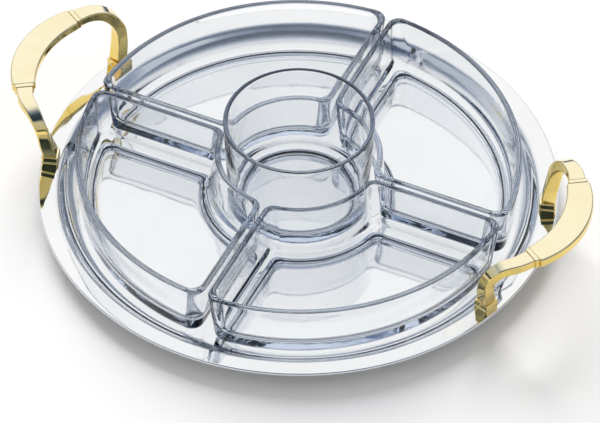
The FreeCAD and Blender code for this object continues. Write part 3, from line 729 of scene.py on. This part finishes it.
def foot_surface(across):
    """A square block with a round groove half way up, bedded a little into the dished flange.

    The groove takes depth * exp(-(d / reach)^2) from the width, at a distance d from its middle.
    """
    height = np.linspace(-FOOT_BEDDING, FOOT_HEIGHT, 53)
    groove = GROOVE_DEPTH * np.exp(-((height - FOOT_HEIGHT / 2) / GROOVE_REACH) ** 2)
    path = foot_top(across) - UP * (FOOT_HEIGHT - height)[:, None]
    outward = np.array([-math.sin(FOOT_ANGLE), across * math.cos(FOOT_ANGLE), 0.0])
    width = FOOT_WIDTH - groove
    return squared_bar(path, outward, width, width, np.full_like(height, 1.0), ease=0.5)


# %% Both handles
for side_name, side in (("right", 1), ("left", -1)):
    half_turn = np.array([side, side, 1.0])
    shapes = {f"{side_name}_handle_grip": grip_surface()}
    for end_name, across in (("rear", side), ("front", -side)):
        shapes[f"{side_name}_{end_name}_ferrule"] = ferrule_surface(across)
        shapes[f"{side_name}_{end_name}_arm"] = arm_surface(across)
        shapes[f"{side_name}_{end_name}_foot"] = foot_surface(across)
    for node, (points, faces) in shapes.items():
        add_piece(f"gilt_{node}", points * half_turn, faces, "root", gilt, "handle_gilt", node)

# %% [markdown]
# ### Fasteners
# The studs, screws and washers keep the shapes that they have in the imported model, and only take
# their finish.

# %% Fasteners
for side_name in ("right", "left"):
    for kind in ("grip_studs", "foot_screws", "foot_washers"):
        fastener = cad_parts[f"{side_name}_{kind}"]
        for holder in fastener.material_slots:
            holder.material = turned_steel
        print(fastener.name, "takes", turned_steel.name)

# %% [markdown]
# ## Floor, room and light
# Glass and mirrors show their surroundings more than themselves.  So the room is a dome that only
# reflections and refractions see.  It holds a broad bright panel, half way up behind the tray, and
# a weaker band of light all round.  The rest is a dark blue, which draws the dark lines along the
# rims.  The white floor is lit by a white sky, which looks brighter to the camera than the light
# that it gives, and by a sun lamp.  The lamp stands 30 degrees up behind the tray and is 42 degrees
# wide, so the shadow falls to the front with a soft edge.  Reflections and refractions don't see
# the lamp.

# %% Floor
def make_floor_paint():
    """Matt white paint whose tone drifts a little."""
    material, tree, shader, _ = new_material("matt_white_floor")
    point = object_point(tree)
    shade = ramp(tree, noise(tree, point, 6.0, 2.0),
                 [(0.3, (0.865, 0.865, 0.87)), (0.7, (0.88, 0.88, 0.88))])
    tree.links.new(shade, shader.inputs["Base Color"])
    shader.inputs["Roughness"].default_value = 0.9
    shader.inputs["Specular IOR Level"].default_value = 0.1
    return material


def add_stage(name, points, faces, material):
    """A mesh in metres that belongs to the staging, and not to the object."""
    mesh = bpy.data.meshes.new(name)
    mesh.from_pydata(points, [], faces)
    mesh.materials.append(material)
    staged = bpy.data.objects.new(name, mesh)
    bpy.context.scene.collection.objects.link(staged)
    return staged


FLOOR_HALF = 9.0
floor_corners = [(x * FLOOR_HALF, y * FLOOR_HALF, 0.0)
                 for x, y in ((-1, -1), (1, -1), (1, 1), (-1, 1))]
floor = add_stage("floor", floor_corners, [(0, 1, 2, 3)], make_floor_paint())
print(floor.name, "is", 2 * FLOOR_HALF, "m wide")

# %% Dome
DOME_RADIUS, DOME_ROWS, DOME_TURNS = 2.4, 24, 96
away = turned_about_z((0, 1, 0), CAMERA_AZIMUTH)
aside = turned_about_z((1, 0, 0), CAMERA_AZIMUTH)


def make_dome_light():
    """The brighter of two lights, as a colour ramp.

    The panel fades with the angle from its middle, half way up behind the tray.  The band runs all
    round, from near the floor to some 40 degrees up, and is weaker behind the tray on the right.
    """
    material = bpy.data.materials.new("studio_dome")
    material.use_nodes = True
    tree = material.node_tree
    tree.nodes.clear()
    link = tree.links.new
    point = object_point(tree, (1 / DOME_RADIUS,) * 3)
    split = tree.nodes.new("ShaderNodeSeparateXYZ")
    link(point, split.inputs[0])

    def nearness(way):
        """How near a direction lies to a way: the cosine of the angle between them."""
        node = tree.nodes.new("ShaderNodeVectorMath")
        node.operation = "DOT_PRODUCT"
        node.inputs[1].default_value = tuple(way)
        link(point, node.inputs[0])
        return node.outputs["Value"]

    def combined(operation, first, second):
        node = tree.nodes.new("ShaderNodeMath")
        node.operation = operation
        link(first, node.inputs[0])
        link(second, node.inputs[1])
        return node.outputs[0]

    height = split.outputs["Z"]
    panel = combined("MULTIPLY",
                     remap(tree, nearness((away + UP) / math.sqrt(2)), 0.0, 1.0, -0.10, 0.95),
                     remap(tree, height, 0.0, 1.0, 0.04, 0.34))
    low_heights = combined("MULTIPLY", remap(tree, height, 0.0, 1.0, 0.05, 0.13),
                           remap(tree, height, 1.0, 0.0, 0.56, 0.74))
    band = combined("MULTIPLY", low_heights,
                    remap(tree, nearness(0.6 * away + 0.8 * aside), 0.74, 0.50, 0.55, 0.82))
    colour = ramp(tree, combined("MAXIMUM", panel, band), [
        (0.0, (0.012, 0.02, 0.038)), (0.40, (0.05, 0.08, 0.145)), (0.62, (0.25, 0.31, 0.42)),
        (0.78, (0.69, 0.72, 0.76)), (0.90, (0.93, 0.94, 0.95)), (0.98, (1.02, 1.02, 1.01))])
    glow = tree.nodes.new("ShaderNodeEmission")
    glow.inputs["Strength"].default_value = 1.0
    link(colour, glow.inputs["Color"])
    output = tree.nodes.new("ShaderNodeOutputMaterial")
    link(glow.outputs["Emission"], output.inputs["Surface"])
    material.cycles.emission_sampling = "NONE"
    return material


dome_height = np.linspace(0.5 * math.pi, 0.0, DOME_ROWS + 1)[1:, None]
dome_turn = 2 * np.pi * np.arange(DOME_TURNS) / DOME_TURNS
dome_points = DOME_RADIUS * np.stack([
    np.cos(dome_height) * np.cos(dome_turn), np.cos(dome_height) * np.sin(dome_turn),
    np.broadcast_to(np.sin(dome_height), (DOME_ROWS, DOME_TURNS))], axis=-1).reshape(-1, 3)
dome_faces = ring_quads(DOME_ROWS, DOME_TURNS).tolist() + [list(range(DOME_TURNS))]
dome = add_stage("dome", dome_points.tolist(), dome_faces, make_dome_light())
dome.visible_camera = dome.visible_diffuse = dome.visible_shadow = False
print(dome.name, "has", len(dome_faces), "faces")

# %% Sky and lamp
SKY_GIVES, SKY_SHOWS = 0.56, 1.0
LAMP_WIDTH, LAMP_ENERGY, LAMP_COLOUR = math.radians(42), 4.1, (1.0, 0.99, 0.975)
LAMP_DISTANCE = 1.7  # a sun lamp shines the same from anywhere; this keeps it clear of the tray
world = bpy.data.worlds.new("sky")
bpy.context.scene.world = world
world.use_nodes = True
sky = world.node_tree.nodes["Background"]
sky.inputs["Color"].default_value = (1.0, 1.0, 1.0, 1.0)
sky_rays = world.node_tree.nodes.new("ShaderNodeLightPath")
sky_strength = world.node_tree.nodes.new("ShaderNodeMapRange")
sky_strength.inputs["To Min"].default_value = SKY_GIVES
sky_strength.inputs["To Max"].default_value = SKY_SHOWS
world.node_tree.links.new(sky_rays.outputs["Is Camera Ray"], sky_strength.inputs["Value"])
world.node_tree.links.new(sky_strength.outputs["Result"], sky.inputs["Strength"])

lamp_data = bpy.data.lights.new("soft_lamp", "SUN")
lamp_data.angle = LAMP_WIDTH
lamp_data.energy = LAMP_ENERGY
lamp_data.color = LAMP_COLOUR
lamp = bpy.data.objects.new("soft_lamp", lamp_data)
bpy.context.scene.collection.objects.link(lamp)
lamp_way = turned_about_z((-0.20, 1.0, 0.58), CAMERA_AZIMUTH)
lamp_way /= np.linalg.norm(lamp_way)
lamp_side = np.cross(UP, lamp_way)
lamp_side /= np.linalg.norm(lamp_side)
lamp_axes = np.eye(4)
lamp_axes[:3, 0], lamp_axes[:3, 1] = lamp_side, np.cross(lamp_way, lamp_side)
lamp_axes[:3, 2], lamp_axes[:3, 3] = lamp_way, lamp_way * LAMP_DISTANCE
lamp.matrix_world = Matrix(lamp_axes.tolist())
lamp.visible_glossy = lamp.visible_transmission = False
print("lamp shines from", np.round(lamp_way, 3))

# %% [markdown]
# ## Light through glass
# A ray that crosses a dish, the bowl and another dish, and comes back from the tray, meets well
# over twelve surfaces, so the scene lets it go on.  The plain colour transform keeps white white.

# %% Light paths
scene = bpy.context.scene
scene.cycles.max_bounces = 40
scene.cycles.transmission_bounces = 36
scene.cycles.glossy_bounces = 12
scene.cycles.transparent_max_bounces = 40
scene.view_settings.view_transform = "Standard"
print("a ray may meet", scene.cycles.max_bounces, "surfaces")
